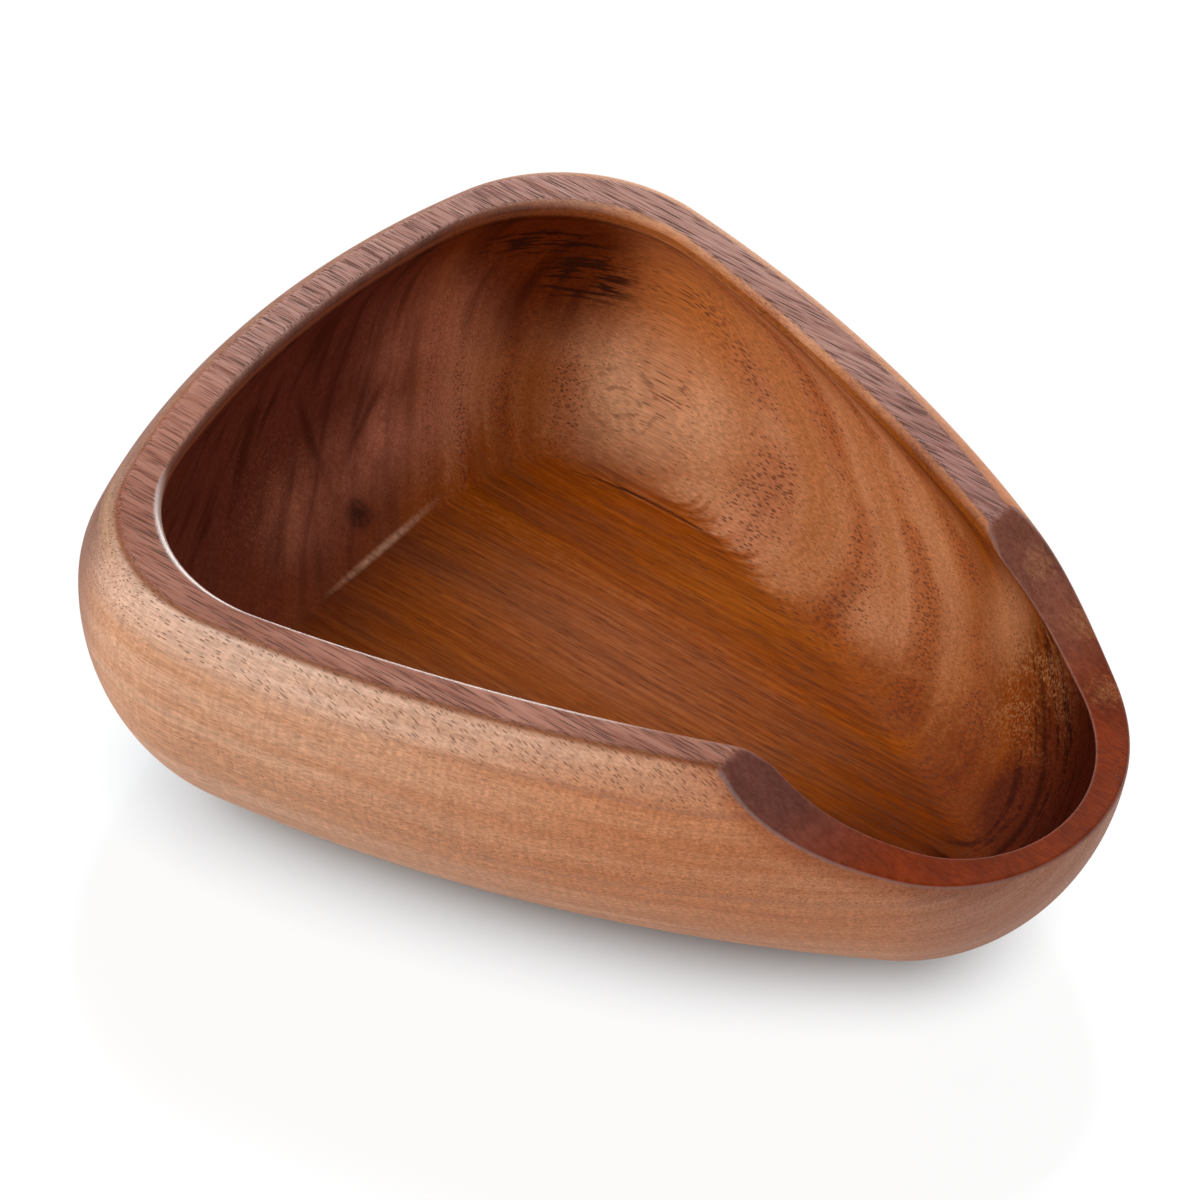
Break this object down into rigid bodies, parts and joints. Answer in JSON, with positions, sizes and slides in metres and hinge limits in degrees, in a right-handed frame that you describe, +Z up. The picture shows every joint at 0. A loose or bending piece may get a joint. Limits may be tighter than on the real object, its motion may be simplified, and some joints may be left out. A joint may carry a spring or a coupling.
{
  "type": "coffee dosing tray",
  "caption": "Shallow hand-sized wooden bowl, a rounded triangle in plan, with a scooped nose for weighing out coffee beans and pouring them into a grinder.",
  "frame": {"origin": "middle of the tray's box, on the flat base it stands on", "axes": "+X along the long axis towards the scooped nose, +Y across the tray, +Z up out of the bowl"},
  "size_m": [0.1398, 0.115, 0.045],
  "materials": {
    "oiled_hardwood": "oiled, satin"
  },
  "bodies": {
    "root": {"tray_body": "oiled_hardwood"}
  },
  "joints": []
}
